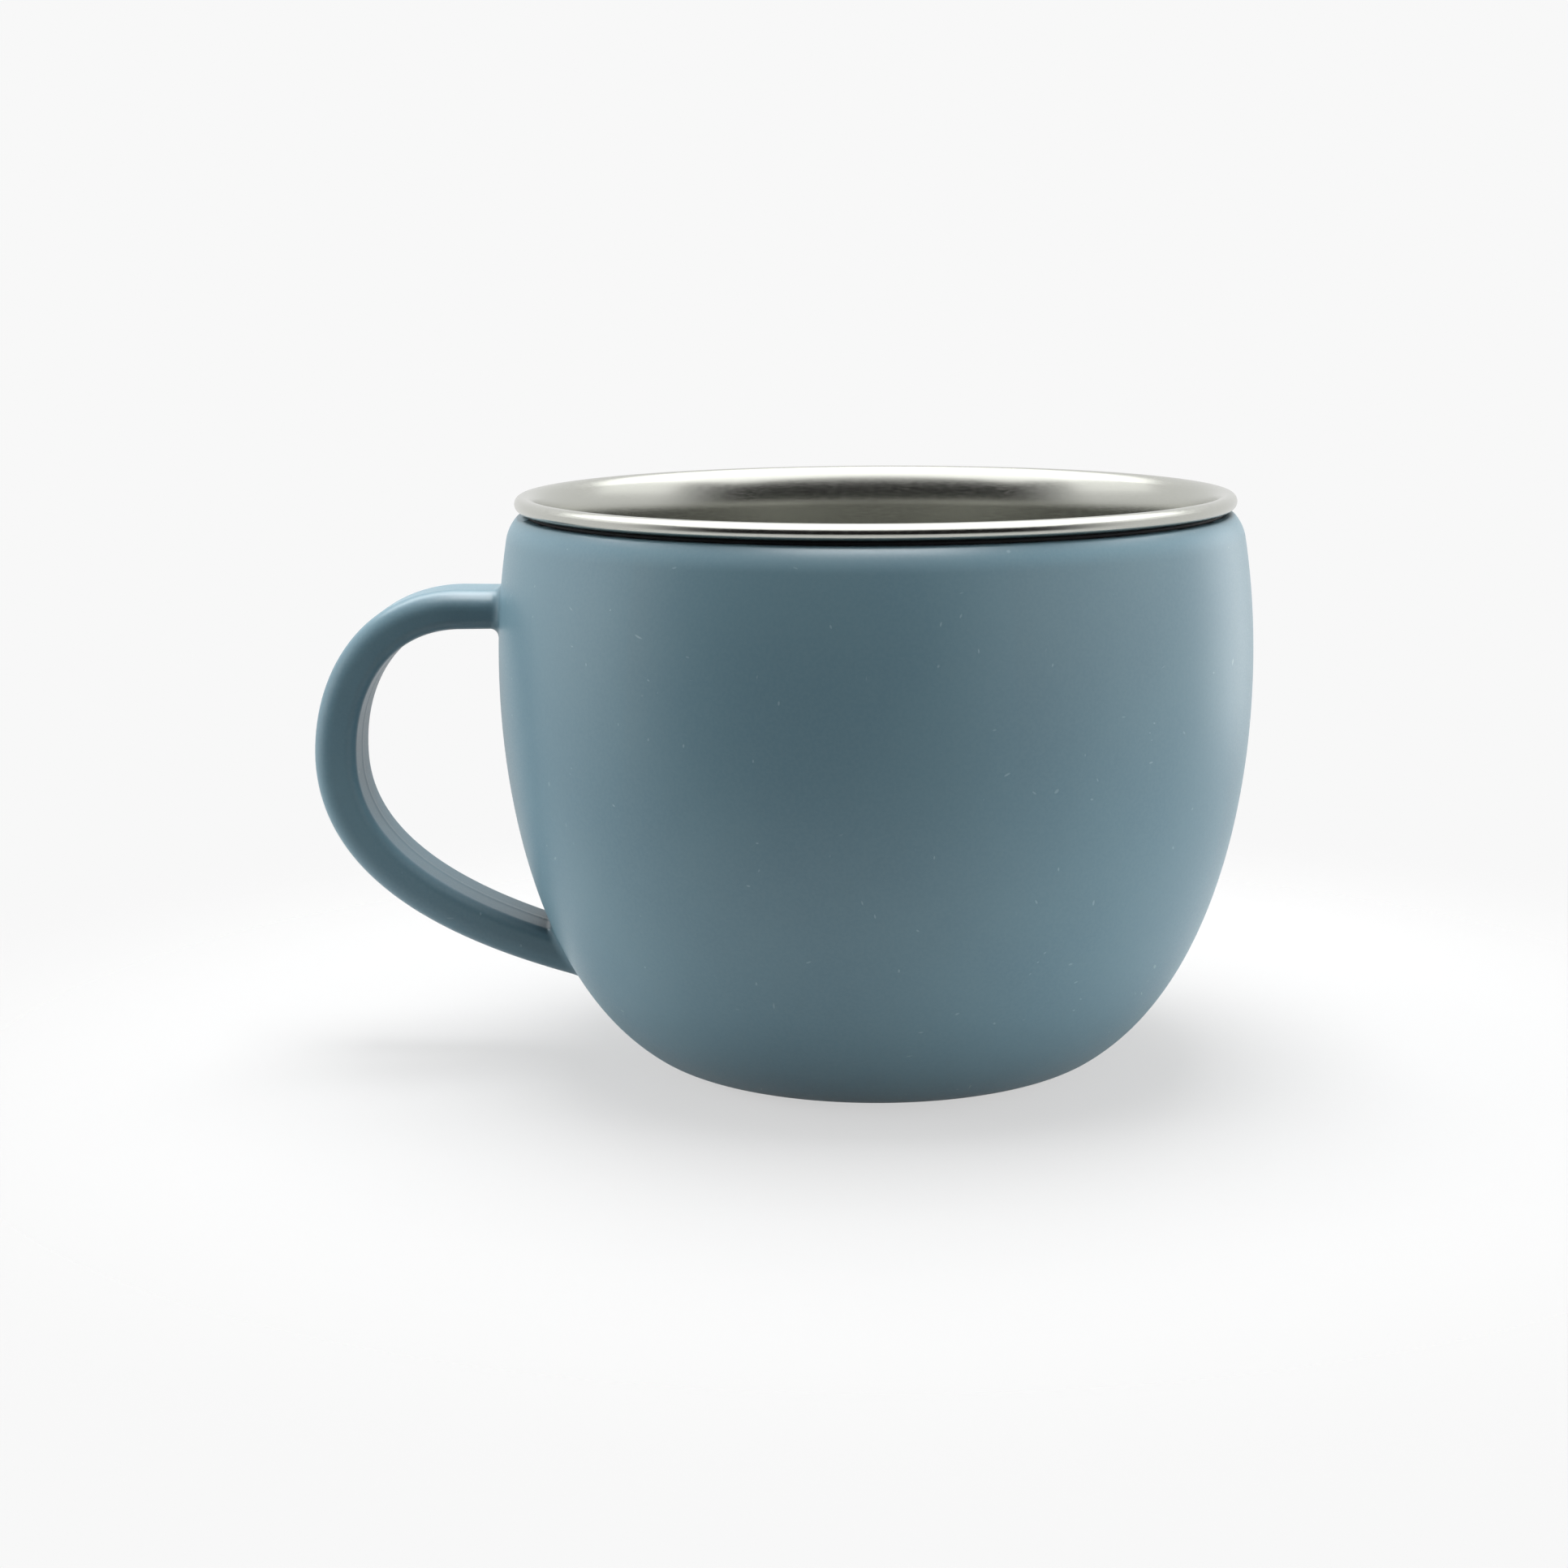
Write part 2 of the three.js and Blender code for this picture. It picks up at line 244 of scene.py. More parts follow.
def sweep(start, start_pull, end, end_pull, steps):
    """Points on the cubic curve that leaves its start along one pull and arrives along the other."""
    leave = start + start_pull
    arrive = end - end_pull
    points = []
    for i in range(steps + 1):
        t = i / steps
        s = 1 - t
        points.append(start * s**3 + leave * (3 * s * s * t) + arrive * (3 * s * t * t) + end * t**3)
    return points


def revolved(name, profile):
    """Mesh of revolution about Z from a profile of radius and height, closed where it meets the axis."""
    mesh = bpy.data.meshes.new(name)
    build = bmesh.new()
    rows = []
    for point in profile:
        if abs(point.x) < AT_AXIS:
            rows.append([build.verts.new(Vector((0, 0, point.y)) * MM)])
            continue
        row = []
        for i in range(RING_STEPS):
            angle = 2 * math.pi * i / RING_STEPS
            place = Vector((point.x * math.cos(angle), point.x * math.sin(angle), point.y))
            row.append(build.verts.new(place * MM))
        rows.append(row)
    if len(rows[0]) > 1:
        rows.append(rows[0])
    for below, above in zip(rows, rows[1:]):
        for i in range(RING_STEPS):
            j = (i + 1) % RING_STEPS
            corners = [row[k % len(row)] for row, k in ((below, i), (below, j), (above, j), (above, i))]
            build.faces.new(list(dict.fromkeys(corners)))
    bmesh.ops.recalc_face_normals(build, faces=build.faces)
    build.to_mesh(mesh)
    build.free()
    return mesh


# Steel cup


def cup_outside(distance, steps):
    """Floor height and corner arc of a face that lies the given distance outside the steel cup."""
    along = leaning(CUP_DRAFT)
    outward = Vector((along.y, -along.x))
    neck = LIP_CENTRE - outward * LIP_BEND
    wall_end = CUP_UNDERSIDE + CUP_CORNER * (1 - math.sin(math.radians(CUP_DRAFT)))
    corner = neck + along * ((wall_end - neck.y) / along.y) - outward * CUP_CORNER
    return CUP_UNDERSIDE - distance, arc(corner, CUP_CORNER + distance, -90, -CUP_DRAFT, steps)


def cup_radius_at(height):
    """Radius of the steel wall's outer face at a height."""
    along = leaning(CUP_DRAFT)
    neck = LIP_CENTRE - Vector((along.y, -along.x)) * LIP_BEND
    return neck.x + (height - neck.y) * math.tan(math.radians(CUP_DRAFT))


def wall_between(low, high, steps):
    """Points on a straight wall without its ends. One close to each end keeps the shading straight."""
    close = MARGIN / (high - low).length
    shares = [close, *(i / steps for i in range(1, steps)), 1 - close]
    return [low.lerp(high, share) for share in shares]


def steel_cup():
    """Drawn cup with a rolled rim, and a neck that flares softly from its wall to its lip."""
    outer_floor, outer_corner = cup_outside(0, CORNER_STEPS)
    inner_floor, inner_corner = cup_outside(-SHEET, CORNER_STEPS)
    curl_end = 90 - CURL_TURN
    lip_start = 180 - CUP_DRAFT
    lip_under = arc(LIP_CENTRE, LIP_BEND, lip_start, 90, LIP_UNDER_STEPS)
    neck_centre = Vector((CURL_CENTRE.x, RIM_HEIGHT - NECK_BEND))
    lip_over = arc(neck_centre, NECK_BEND, 90, 180 - NECK_LEAN, LIP_OVER_STEPS)
    neck_foot = RIM_HEIGHT - NECK_DROP
    neck_end = Vector((cup_radius_at(neck_foot) - SHEET - NECK_INSET, neck_foot))
    neck_pull = NECK_FULLNESS * (neck_end - lip_over[-1]).length
    down_wall = (inner_corner[-1] - neck_end).normalized()
    down_lip = -leaning(NECK_LEAN)
    neck = sweep(lip_over[-1], down_lip * neck_pull, neck_end, down_wall * neck_pull, NECK_STEPS)
    profile = [Vector((0, outer_floor)), *outer_corner]
    profile += wall_between(outer_corner[-1], lip_under[0], WALL_STEPS)
    profile += lip_under
    profile += arc(CURL_CENTRE, CURL_BORE / 2, 90, curl_end, CURL_INSIDE_STEPS)[1:]
    profile += arc(CURL_CENTRE, CURL_RADIUS, curl_end, 90, CURL_OUTSIDE_STEPS)
    profile += lip_over[1:] + neck[1:]
    profile += wall_between(neck_end, inner_corner[-1], WALL_STEPS)
    profile += [*reversed(inner_corner), Vector((0, inner_floor))]
    return smooth_object("steel_cup", revolved("steel_cup", profile), SHARP_BEND)


# Seal ring: a black ring under the rim, whose black also paints the shade of the crevice there


def seal_ring_and_shade():
    """Flat ring under the rolled rim, with a rounded outer edge. It fills the crevice under the rim,
    where its black paints the crevice's shade as well as the seal's own colour.
    """
    top = SHELL_TOP + SEAL_SPACE - SEAL_CLEARANCE
    inside = cup_radius_at(top) + SEAL_CLEARANCE
    edge = RIM_RADIUS - SEAL_INSET - SEAL_ROUNDING
    profile = [Vector((inside, SHELL_TOP))]
    profile += arc(Vector((edge, SHELL_TOP + SEAL_ROUNDING)), SEAL_ROUNDING, -90, 0, SEAL_STEPS)
    profile += arc(Vector((edge, top - SEAL_ROUNDING)), SEAL_ROUNDING, 0, 90, SEAL_STEPS)
    profile += [Vector((inside, top))]
    return smooth_object("seal_ring_and_shade", revolved("seal_ring_and_shade", profile), SHARP_BEND)


# Moulded shell with its handle


def shell_side():
    """Outer face of the shell, from the edge of the foot up to its top edge."""
    foot = arc(Vector((FOOT_RADIUS, FOOT_ROUNDING)), FOOT_ROUNDING, -90, -FOOT_LEAN, FOOT_STEPS)
    belly = Vector((BELLY_RADIUS, BELLY_HEIGHT))
    top_edge = Vector((RIM_RADIUS - EDGE_INSET, SHELL_TOP))
    top_direction = leaning(-SHOULDER_END)
    shoulder_centre = top_edge - Vector((top_direction.y, -top_direction.x)) * SHOULDER_RADIUS
    rise = SHELL_TOP - EDGE_ROUNDING - shoulder_centre.y
    reach = SHOULDER_RADIUS - EDGE_ROUNDING
    edge_centre = Vector((math.sqrt(reach**2 - rise**2), rise)) + shoulder_centre
    edge_start = math.degrees(math.asin(rise / reach))
    shoulder = arc(shoulder_centre, SHOULDER_RADIUS, SHOULDER_START, edge_start, SHOULDER_STEPS)
    edge = arc(edge_centre, EDGE_ROUNDING, edge_start, 90, TOP_EDGE_STEPS)
    lower_chord = (belly - foot[-1]).length
    upper_pull = SHOULDER_FULLNESS * (shoulder[0] - belly).length
    lower = sweep(
        foot[-1], leaning(FOOT_LEAN) * FOOT_FULLNESS * lower_chord,
        belly, leaning(0) * BELLY_FULLNESS * lower_chord, LOWER_SIDE_STEPS,
    )
    upper = sweep(
        belly, leaning(0) * upper_pull,
        shoulder[0], leaning(-SHOULDER_START) * upper_pull, UPPER_SIDE_STEPS,
    )
    return foot + lower[1:] + upper[1:] + shoulder[1:] + edge[1:]


SIDE = shell_side()


def shell_radius_at(height):
    """Radius of the shell's outer face at a height."""
    for below, above in zip(SIDE, SIDE[1:]):
        if above.y >= height:
            return mix(below.x, above.x, (height - below.y) / (above.y - below.y))
    return SIDE[-1].x


def above_shell(point):
    """Height of a point above the shell's outer face, zero inside it, and the way out there."""
    flat = Vector((math.hypot(point.x, point.y), point.z))
    height = math.inf
    for below, above in zip(SIDE, SIDE[1:]):
        along = above - below
        share = min(max((flat - below).dot(along) / along.length_squared, 0), 1)
        distance = (flat - below - along * share).length
        if distance < height:
            height = distance
            slope = along.normalized()
    if flat.x <= shell_radius_at(flat.y):
        height = 0
    round_it = Vector((point.x, point.y, 0)).normalized()
    return height, round_it * slope.y + Vector((0, 0, -slope.x))


def fillet_at(height):
    """Width by which a rounded corner stands off the handle, at a height above the shell."""
    inside = max(ROOT_FILLET - height, 0)
    return ROOT_FILLET - math.sqrt(ROOT_FILLET**2 - inside**2)


def handle_line():
    """Centre line of the handle as (x, z), from inside its upper root to inside its lower one.
    The point where it bows out furthest comes with it."""
    arm_height = SHELL_TOP - ARM_DROP
    bow_reach = BELLY_RADIUS + FINGER_GAP + BOW_THICKNESS / 2
    bow = Vector((-bow_reach, mix(LOWER_ROOT, arm_height, BOW_PLACE)))
    out = Vector((-1, 0))
    down = Vector((0, -1))
    lean = math.radians(LOWER_LEAN)
    inward = Vector((math.cos(lean), -math.sin(lean)))
    upper_root = Vector((-shell_radius_at(arm_height), arm_height))
    arm_end = upper_root + out * ARM_STRAIGHT
    lower_root = Vector((-shell_radius_at(LOWER_ROOT), LOWER_ROOT))
    upper_bow = sweep(
        arm_end, out * ARM_PULL * (arm_end.x - bow.x),
        bow, down * BOW_PULL_UP * (arm_end.y - bow.y), BOW_LINE_STEPS,
    )
    lower_bow = sweep(
        bow, down * BOW_PULL_DOWN * (bow.y - lower_root.y),
        lower_root, inward * ROOT_PULL * (lower_root.x - bow.x), BOW_LINE_STEPS,
    )
    upper_end = upper_root - out * ROOT_DEPTH
    lower_end = lower_root + inward * ROOT_DEPTH
    return [upper_end, *upper_bow, *lower_bow[1:], lower_end], bow


def handle_stations():
    """Places along the handle, each with its centre, its direction and its thickness."""
    points, bow = handle_line()
    lengths = [0.0]
    for before, after in zip(points, points[1:]):
        lengths.append(lengths[-1] + (after - before).length)
    whole = lengths[-1]
    bow_at = lengths[points.index(bow)]
    stations = []
    at = 0.0
    i = 0
    while at < whole:
        while lengths[i + 1] < at:
            i += 1
        share = (at - lengths[i]) / (lengths[i + 1] - lengths[i])
        centre = points[i].lerp(points[i + 1], share)
        before = points[max(i - 1, 0)].lerp(points[i], share)
        after = points[i + 1].lerp(points[min(i + 2, len(points) - 1)], share)
        if at < bow_at:
            thickness = mix(ARM_THICKNESS, BOW_THICKNESS, at / bow_at)
        else:
            thickness = mix(BOW_THICKNESS, ROOT_THICKNESS, (at - bow_at) / (whole - bow_at))
        stations.append((centre, (after - before).normalized(), thickness))
        at += ROOT_STEP if min(at, whole - at) < ROOT_ZONE else BOW_STEP
    return stations


def handle_section(thickness):
    """Offsets away from the cup and across it, each with its normal, round a rounded rectangle.
    The face towards the cup carries a fine mould line along its middle."""
    corners = []
    for quarter in range(4):
        outer = quarter in (0, 3)
        rounding = OUTER_EDGE if outer else INNER_EDGE
        centre = Vector((
            (1 if outer else -1) * (thickness / 2 - rounding),
            (1 if quarter < 2 else -1) * (HANDLE_WIDTH / 2 - rounding),
        ))
        edge = arc(centre, rounding, quarter * 90, quarter * 90 + 90, HANDLE_EDGE_STEPS)
        corners.append([(point, (point - centre).normalized()) for point in edge])
    section = []
    towards_cup = 1
    for quarter in range(4):
        section += corners[quarter]
        start, normal = corners[quarter][-1]
        end = corners[(quarter + 1) % 4][0][0]
        face = wall_between(start, end, HANDLE_FACE_STEPS)
        if quarter == towards_cup:
            middle = start.lerp(end, 0.5)
            foot = Vector((0, MOULD_LINE_WIDTH / 2))
            line = [middle + foot, middle + normal * MOULD_LINE_HEIGHT, middle - foot]
            face = [point for point in face if abs(point.y) > MOULD_LINE_WIDTH]
            face[len(face) // 2:len(face) // 2] = line
        section += [(point, normal) for point in face]
    return section


def handle_loop():
    """Closed mesh of the handle, flared along the shell's face at both roots."""
    mesh = bpy.data.meshes.new("handle_loop")
    build = bmesh.new()
    across = Vector((0, 1, 0))
    rings = []
    for centre, along, thickness in handle_stations():
        away = Vector((along.y, 0, -along.x))
        ring = []
        for point, normal in handle_section(thickness):
            place = Vector((centre.x, 0, centre.y)) + away * point.x + across * point.y
            if math.hypot(place.x, place.y) < BELLY_RADIUS + ROOT_FILLET:
                height, outward = above_shell(place)
                flare = away * normal.x + across * normal.y
                facing = flare.dot(outward)
                flare -= outward * facing
                place += flare.normalized() * fillet_at(height) * (1 - facing)
            ring.append(build.verts.new(place * MM))
        rings.append(ring)
    for ring, following in zip(rings, rings[1:]):
        for i in range(len(ring)):
            j = (i + 1) % len(ring)
            build.faces.new((ring[i], ring[j], following[j], following[i]))
    build.faces.new(rings[0])
    build.faces.new(rings[-1])
    bmesh.ops.recalc_face_normals(build, faces=build.faces)
    build.to_mesh(mesh)
    build.free()
    return mesh


def combined(base, other, operation):
    """Mesh of one solid joined with another, or cut by it."""
    objects = [bpy.data.objects.new(mesh.name, mesh) for mesh in (base, other)]
    for piece in objects:
        bpy.context.scene.collection.objects.link(piece)
    boolean = objects[0].modifiers.new(operation, "BOOLEAN")
    boolean.operation = operation
    boolean.solver = "EXACT"
    boolean.object = objects[1]
    evaluated = objects[0].evaluated_get(bpy.context.evaluated_depsgraph_get())
    result = bpy.data.meshes.new_from_object(evaluated)
    for piece in objects:
        bpy.data.objects.remove(piece)
    return result


def face_direction(point):
    """Outward direction of the shell's face at a point on it by the handle, or zero elsewhere."""
    radius = math.hypot(point.x, point.y)
    by_handle = point.x < 0 and abs(point.y) < HANDLE_WIDTH
    if not by_handle or abs(radius - shell_radius_at(point.z)) > ON_FACE:
        return Vector((0, 0, 0))
    flare = (shell_radius_at(point.z + MARGIN) - shell_radius_at(point.z - MARGIN)) / (2 * MARGIN)
    return Vector((point.x / radius, point.y / radius, -flare)).normalized()


def moulded_shell():
    """Body and handle in one, hollowed for the steel cup."""
    form = revolved("form", [Vector((0, 0)), *SIDE, Vector((0, SHELL_TOP))])
    hollow_floor, hollow_corner = cup_outside(CUP_CLEARANCE, CORNER_STEPS)
    mouth = RIM_HEIGHT + CUP_CLEARANCE
    mouth_edge = Vector((cup_radius_at(mouth) + CUP_CLEARANCE, mouth))
    hollow_side = [Vector((0, hollow_floor)), *hollow_corner, mouth_edge, Vector((0, mouth))]
    hollow = revolved("hollow", hollow_side)
    joined = combined(form, handle_loop(), "UNION")
    shell = combined(joined, hollow, "DIFFERENCE")
    shell.name = "moulded_shell"
    piece = smooth_object("moulded_shell", shell, SHELL_SHARP_BEND)
    directions = [face_direction(vertex.co / MM) for vertex in shell.vertices]
    shell.normals_split_custom_set_from_vertices(directions)
    return piece


# Materials


def new_material(name):
    """Empty material, with its node tree and its shader."""
    material = bpy.data.materials.new(name)
    material.use_nodes = True
    tree = material.node_tree
    return material, tree, tree.nodes["Principled BSDF"]


def add_node(tree, kind, settings, inputs):
    """New node with its settings. Its inputs, by name or number, take a value or another output."""
    node = tree.nodes.new(kind)
    for key, value in settings.items():
        setattr(node, key, value)
    for key, value in inputs.items():
        if isinstance(value, bpy.types.NodeSocket):
            tree.links.new(value, node.inputs[key])
        else:
            node.inputs[key].default_value = value
    return node


def place_on_piece(tree):
    """Place on the surface in the piece's own frame, in metres."""
    return add_node(tree, "ShaderNodeTexCoord", {}, {}).outputs["Object"]


def noise(tree, place, scale, detail):
    """Soft random pattern from 0 to 1."""
    inputs = {"Vector": place, "Scale": scale, "Detail": detail}
    return add_node(tree, "ShaderNodeTexNoise", {}, inputs).outputs["Fac"]


def stretched(tree, place, scale):
    """Place with each of its axes stretched."""
    return add_node(tree, "ShaderNodeMapping", {}, {"Vector": place, "Scale": scale}).outputs["Vector"]


def vector_math(tree, operation, inputs):
    """Outputs of one step of reckoning with places."""
    return add_node(tree, "ShaderNodeVectorMath", {"operation": operation}, inputs).outputs


def ramp(tree, value, low, high, start, end):
    """Value carried from the range low to high into the range start to end, smoothly and no further."""
    settings = {"interpolation_type": "SMOOTHSTEP"}
    inputs = {"Value": value, "From Min": low, "From Max": high, "To Min": start, "To Max": end}
    return add_node(tree, "ShaderNodeMapRange", settings, inputs).outputs["Result"]


def spread(tree, pattern, start, end):
    """Random pattern carried into the range start to end."""
    return ramp(tree, pattern, *NOISE_RANGE, start, end)


def combine(tree, operation, first, second):
    """Result of one step of reckoning with two values."""
    inputs = {0: first, 1: second}
    return add_node(tree, "ShaderNodeMath", {"operation": operation}, inputs).outputs["Value"]


def blend(tree, share, first, second):
    """Colour between two others, at a share of the way."""
    inputs = {"Factor": share, "A": first, "B": second}
    node = tree.nodes.new("ShaderNodeMix")
    node.data_type = "RGBA"
    for socket in node.inputs:
        if socket.enabled and socket.name in inputs:
            value = inputs[socket.name]
            if isinstance(value, bpy.types.NodeSocket):
                tree.links.new(value, socket)
            else:
                socket.default_value = value
    return next(socket for socket in node.outputs if socket.enabled)


def colour(red, green, blue):
    """Linear colour from the 0 to 255 values of a screen colour, by the sRGB curve."""
    linear = []
    for value in (red, green, blue):
        share = value / 255
        linear.append(share / 12.92 if share <= 0.04045 else ((share + 0.055) / 1.055) ** 2.4)
    return (*linear, 1)


def fibres(tree, place, cells):
    """Thin short dashes, each in one cell of many, bent this way and that."""
    drift_inputs = {"Vector": place, "Scale": LINT_BENDS, "Detail": 1}
    drift = add_node(tree, "ShaderNodeTexNoise", {}, drift_inputs).outputs["Color"]
    drift = vector_math(tree, "SCALE", {0: drift, "Scale": LINT_BEND_WIDTH * MM})["Vector"]
    bent = vector_math(tree, "ADD", {0: place, 1: drift})["Vector"]
    cell_inputs = {"Vector": stretched(tree, bent, cells), "Scale": 1}
    cell = add_node(tree, "ShaderNodeTexVoronoi", {}, cell_inputs).outputs
    chance = add_node(tree, "ShaderNodeSeparateColor", {}, {"Color": cell["Color"]}).outputs["Red"]
    dash = ramp(tree, cell["Distance"], *LINT_DASH, 1, 0)
    chosen = ramp(tree, chance, *LINT_RARITY, 0, 1)
    return combine(tree, "MULTIPLY", dash, chosen)


def add_relief(tree, shader, height, strength, depth):
    """Fine relief on a surface, with its depth in millimetres."""
    inputs = {"Height": height, "Strength": strength, "Distance": depth * MM}
    bump = add_node(tree, "ShaderNodeBump", {}, inputs)
    tree.links.new(bump.outputs["Normal"], shader.inputs["Normal"])


def shell_material():
    """Matte moulding with a fine mottle, a skin-like grain and a few fibres of lint."""
    material, tree, shader = new_material("matte_moulding")
    place = place_on_piece(tree)
    clouds = spread(tree, noise(tree, place, SHELL_CLOUDS, 3), 0, 1)
    flecks = spread(tree, noise(tree, place, SHELL_FLECKS, 2), 0, SHELL_FLECK_SHARE)
    grain = noise(tree, place, SHELL_GRAIN, 2)
    lint = combine(tree, "MAXIMUM", *(fibres(tree, place, cells) for cells in LINT_CELLS))
    base = blend(tree, clouds, colour(*SHELL_DEEP), colour(*SHELL_PALE))
    base = blend(tree, flecks, base, colour(*SHELL_FLECK))
    base = blend(tree, combine(tree, "MULTIPLY", lint, LINT_SHARE), base, colour(*LINT_COLOUR))
    tree.links.new(base, shader.inputs["Base Color"])
    tree.links.new(spread(tree, grain, *SHELL_ROUGHNESS), shader.inputs["Roughness"])
    shader.inputs["Specular IOR Level"].default_value = SHELL_SHINE
    relief = combine(tree, "ADD", grain, lint)
    add_relief(tree, shader, relief, SHELL_GRAIN_STRENGTH, SHELL_GRAIN_HEIGHT)
    return material


def steel_material():
    """Satin steel, polished round its axis."""
    material, tree, shader = new_material("satin_steel")
    place = place_on_piece(tree)
    part = add_node(tree, "ShaderNodeSeparateXYZ", {}, {0: place}).outputs
    flat = vector_math(tree, "MULTIPLY", {0: place, 1: (1, 1, 0)})["Vector"]
    reach = vector_math(tree, "LENGTH", {0: flat})["Value"]
    across = combine(tree, "ADD", part["Z"], reach)
    turned_inputs = {"X": part["X"], "Y": part["Y"], "Z": across}
    turned = add_node(tree, "ShaderNodeCombineXYZ", {}, turned_inputs).outputs["Vector"]
    lines = noise(tree, stretched(tree, turned, STEEL_LINES), 1, 2)
    tree.links.new(blend(tree, lines, STEEL_DEEP, STEEL_PALE), shader.inputs["Base Color"])
    shader.inputs["Metallic"].default_value = 1
    tree.links.new(spread(tree, lines, *STEEL_ROUGHNESS), shader.inputs["Roughness"])
    add_relief(tree, shader, lines, STEEL_LINE_STRENGTH, STEEL_LINE_HEIGHT)
    return material


def seal_and_shade_material():
    """Dull black with a fine grain. On the seal ring it paints the shade of the crevice under the rim as
    well as the seal's own black.
    """
    material, tree, shader = new_material("black_seal_and_shade")
    grain = noise(tree, place_on_piece(tree), SEAL_GRAIN, 3)
    tree.links.new(blend(tree, grain, SEAL_AND_SHADE_DEEP, SEAL_AND_SHADE_PALE), shader.inputs["Base Color"])
    shader.inputs["Specular IOR Level"].default_value = SEAL_SHINE
    tree.links.new(spread(tree, grain, *SEAL_ROUGHNESS), shader.inputs["Roughness"])
    return material


# Studio


def floor_material():
    """Grey that takes the shadow, whiter for what is seen and mirrored, and clear towards its edge."""
    material, tree, shader = new_material("pale_floor")
    shader.inputs["Base Color"].default_value = FLOOR_GREY
    shader.inputs["Roughness"].default_value = FLOOR_ROUGHNESS
    white = add_node(tree, "ShaderNodeEmission", {}, {"Color": colour(*BACKDROP)}).outputs["Emission"]
    clear = add_node(tree, "ShaderNodeBsdfTransparent", {}, {}).outputs["BSDF"]
    rays = add_node(tree, "ShaderNodeLightPath", {}, {}).outputs
    seen = combine(tree, "MAXIMUM", rays["Is Camera Ray"], rays["Is Transmission Ray"])
    seen = combine(tree, "MULTIPLY", seen, FLOOR_WHITE_SEEN)
    mirrored = combine(tree, "MULTIPLY", rays["Is Glossy Ray"], FLOOR_WHITE_MIRRORED)
    pale = combine(tree, "MAXIMUM", seen, mirrored)
    ground_inputs = {0: pale, 1: shader.outputs["BSDF"], 2: white}
    ground_shade = add_node(tree, "ShaderNodeMixShader", {}, ground_inputs).outputs["Shader"]
    reach = vector_math(tree, "LENGTH", {0: place_on_piece(tree)})["Value"]
    fade = ramp(tree, reach, FLOOR_FADE_START * MM, FLOOR_FADE_END * MM, 0, 1)
    surface = add_node(tree, "ShaderNodeMixShader", {}, {0: fade, 1: ground_shade, 2: clear})
    tree.links.new(surface.outputs["Shader"], tree.nodes["Material Output"].inputs["Surface"])
    return material


def floor():
    """Pale disc under the mug that fades into the background."""
    mesh = bpy.data.meshes.new("floor")
    build = bmesh.new()
    bmesh.ops.create_circle(build, cap_ends=True, segments=FLOOR_STEPS, radius=FLOOR_FADE_END * MM)
    build.to_mesh(mesh)
    build.free()
    ground = bpy.data.objects.new("floor", mesh)
    bpy.context.scene.collection.objects.link(ground)
    mesh.materials.append(floor_material())


def surroundings():
    """White all round for what is seen and mirrored, apart from the dark room behind the camera.
    Its light on the object is that of a white table that goes on beyond the floor, under a dim room."""
    world = bpy.data.worlds.new("surroundings")
    bpy.context.scene.world = world
    world.use_nodes = True
    tree = world.node_tree
    direction = add_node(tree, "ShaderNodeTexCoord", {}, {}).outputs["Generated"]
    towards = add_node(tree, "ShaderNodeSeparateXYZ", {}, {0: direction}).outputs
    off_table = ramp(tree, towards["Z"], *TABLE_EDGE, 0, 1)
    studio = blend(tree, off_table, TABLE_LIGHT, ROOM_LIGHT)
    behind_camera = ramp(tree, towards["Y"], *BEHIND_CAMERA, 1, 0)
    below_ceiling = ramp(tree, towards["Z"], *BELOW_CEILING, 1, 0)
    above_table = ramp(tree, towards["Z"], *ABOVE_TABLE, 0, 1)
    walls = combine(tree, "MULTIPLY", below_ceiling, above_table)
    room = combine(tree, "MULTIPLY", behind_camera, walls)
    mirrored = blend(tree, room, colour(*BACKDROP), DARK_ROOM)
    rays = add_node(tree, "ShaderNodeLightPath", {}, {}).outputs
    seen = combine(tree, "MAXIMUM", rays["Is Camera Ray"], rays["Is Transmission Ray"])
    light = blend(tree, rays["Is Glossy Ray"], studio, mirrored)
    light = blend(tree, seen, light, colour(*BACKDROP))
    tree.links.new(light, tree.nodes["Background"].inputs["Color"])


def lamp(name, place, target, size, power, kind):
    """Soft box that looks from a place at a target, in metres, with its width, height and watts."""
    light = bpy.data.lights.new(name, "AREA")
    light.shape = "RECTANGLE"
    light.size, light.size_y = size
    light.energy = power
    box = bpy.data.objects.new(name, light)
    box.location = place
    box.rotation_euler = (Vector(target) - Vector(place)).to_track_quat("-Z", "Y").to_euler()
    box.visible_diffuse, box.visible_glossy = kind
    bpy.context.scene.collection.objects.link(box)
    return box


def keep_off(box, piece):
    """Stop a lamp from lighting one piece, so that its own image isn't mirrored there."""
    spared = bpy.data.collections.new("spared")
    spared.objects.link(piece)
    spared.collection_objects[0].light_linking.link_state = "EXCLUDE"
    box.light_linking.receiver_collection = spared


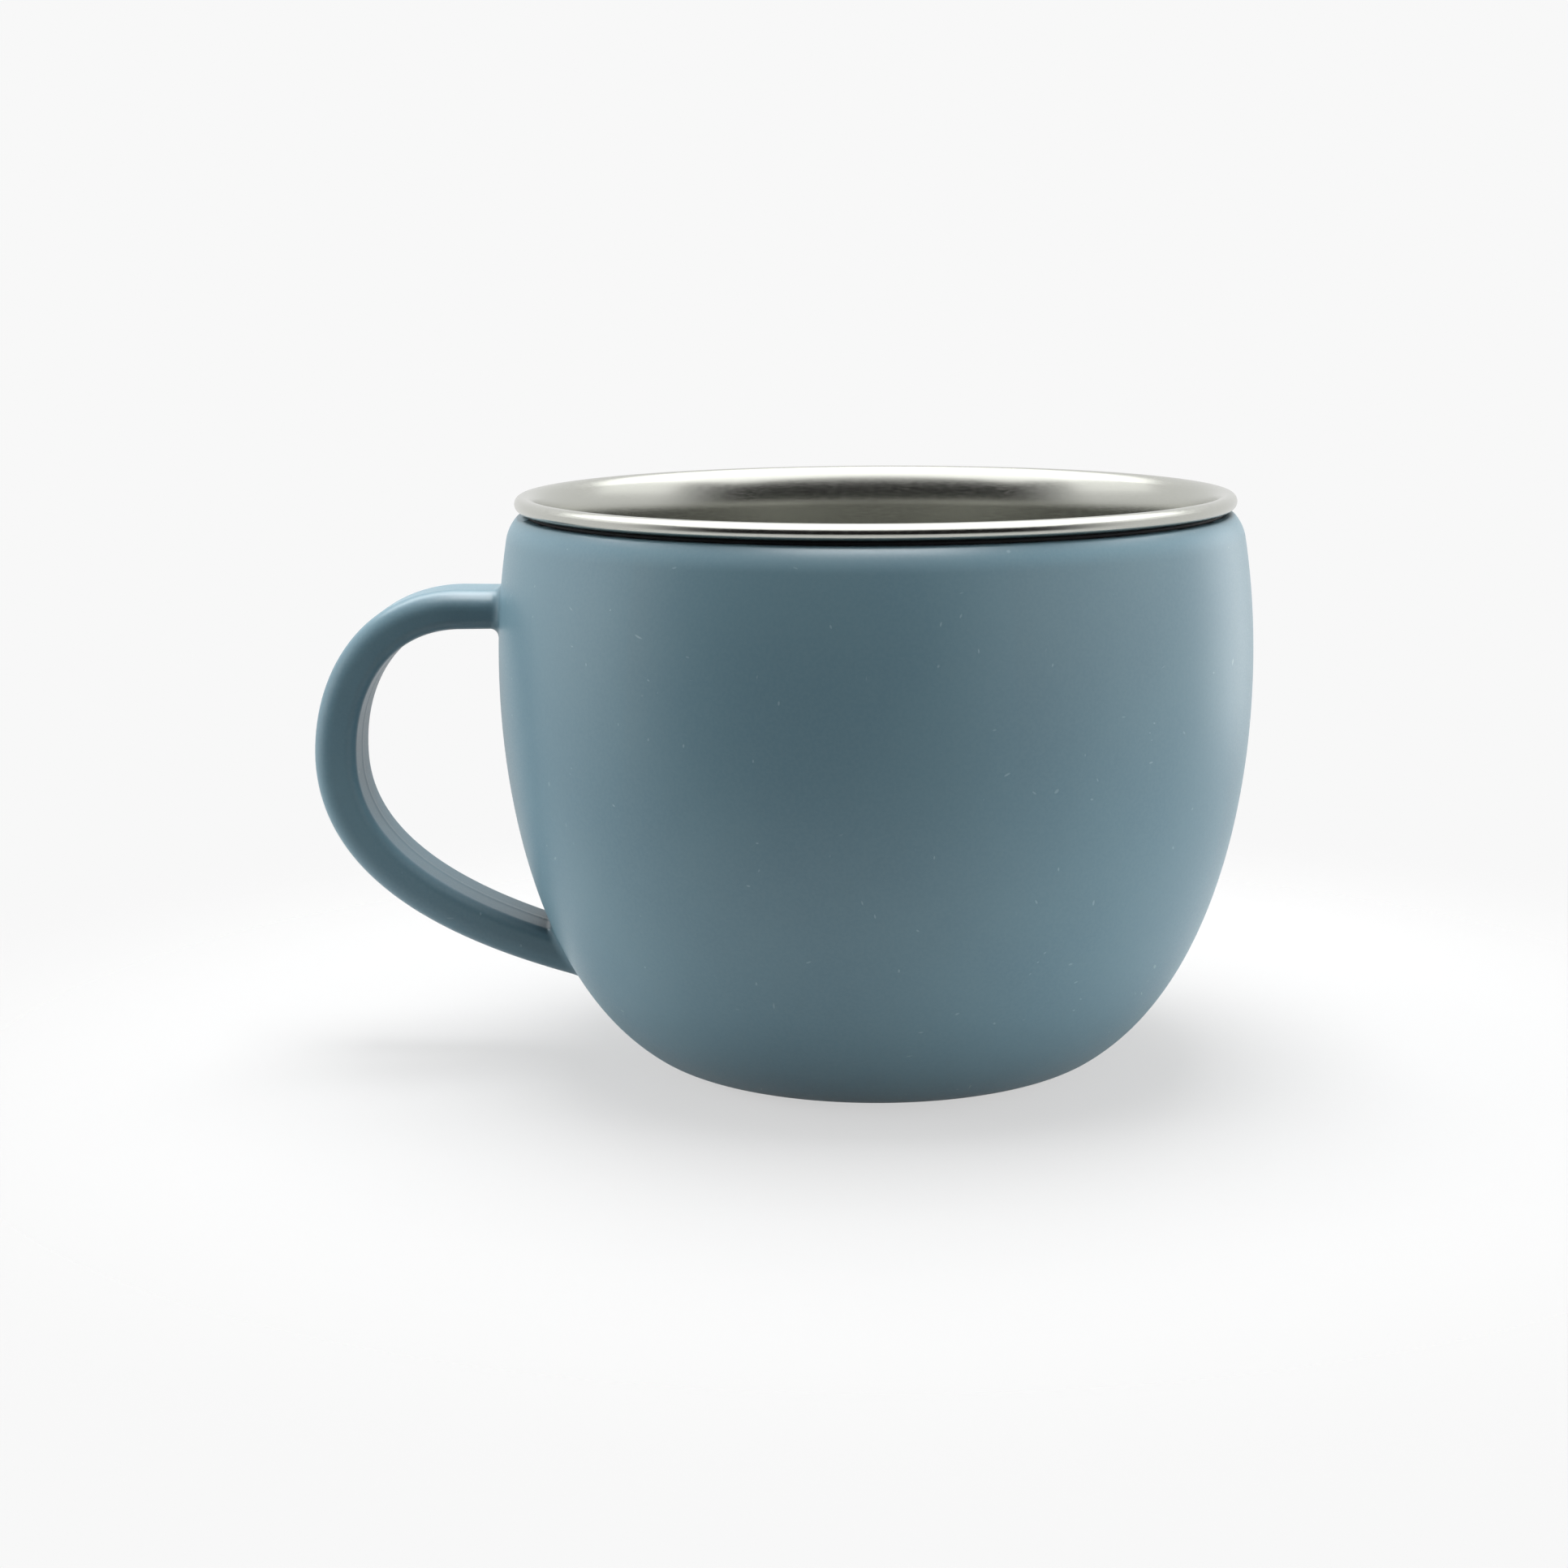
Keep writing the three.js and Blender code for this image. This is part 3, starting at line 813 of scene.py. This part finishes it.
def lamps(shell, steel):
    """Soft boxes all round. One whose image would spoil the steel or the shell is kept off it."""
    rim = (0, 0, 0.06)
    body = (0, 0, 0.04)
    top = lamp("top_light", (0, 0, 0.6), rim, (0.3, 0.3), 4.3, BOTH)
    front_top = lamp("front_top_light", (0, -0.2, 0.58), rim, (0.4, 0.14), 2.5, HIGHLIGHT)
    shoulder = lamp("shoulder_light", (0, 0.25, 0.6), (0, 0.1, 0), (1.2, 0.3), 11.0, HIGHLIGHT)
    lamp("top_back_light", (0, 0.25, 0.55), (0, 0, 0.05), (0.4, 0.25), 2.0, SOFT_LIGHT)
    lamp("left_light", (-0.6, 0.04, 0.12), body, (0.5, 0.4), 5.1, SOFT_LIGHT)
    lamp("right_light", (0.6, 0.02, 0.12), body, (0.5, 0.4), 2.9, SOFT_LIGHT)
    lamp("right_front_light", (0.45, -0.4, 0.1), body, (0.4, 0.4), 1.95, SOFT_LIGHT)
    right_back = lamp("right_back_light", (0.42, 0.32, 0.08), body, (0.3, 0.3), 0.5, BOTH)
    for box in (top, front_top, shoulder, right_back):
        keep_off(box, steel)
    ceiling = lamp("ceiling_light", (0, -0.1, 0.8), (0, -0.1, 0), (2.6, 1.8), 19.0, HIGHLIGHT)
    keep_off(ceiling, shell)
    for side in (-1, 1):
        panel = lamp("side_panel", (side * 0.9, 0.15, 0.5), rim, (0.7, 0.4), 0.45, HIGHLIGHT)
        keep_off(panel, shell)


def camera():
    """Camera at the photograph's place, with its angle of view."""
    lens = bpy.data.cameras.new("camera")
    lens.sensor_fit = "HORIZONTAL"
    lens.sensor_width = SENSOR_WIDTH
    lens.lens = FOCAL_PIXELS * SENSOR_WIDTH / IMAGE_WIDTH
    viewer = bpy.data.objects.new("camera", lens)
    aim = (CAMERA_TARGET - CAMERA_PLACE).to_track_quat("-Z", "Y").to_matrix().to_4x4()
    viewer.matrix_world = Matrix.Translation(CAMERA_PLACE) @ aim @ Matrix.Rotation(CAMERA_ROLL, 4, "Z")
    bpy.context.scene.collection.objects.link(viewer)
    bpy.context.scene.camera = viewer


# Put together

pieces = {}
for build_piece, build_material, body, node, slot in (
    (moulded_shell, shell_material, "shell", "outer_shell", "shell"),
    (steel_cup, steel_material, "cup", "inner_cup", "steel"),
    # The seal ring's black also paints the shade in the crevice under the rim
    (seal_ring_and_shade, seal_and_shade_material, "cup", "rim_seal", "seal"),
):
    piece = build_piece()
    pieces[node] = piece
    piece.data.materials.clear()
    piece.data.materials.append(build_material())
    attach(piece, body)
    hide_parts(node)

camera()
floor()
surroundings()
lamps(pieces["outer_shell"], pieces["inner_cup"])
bpy.context.scene.view_settings.view_transform = "Standard"
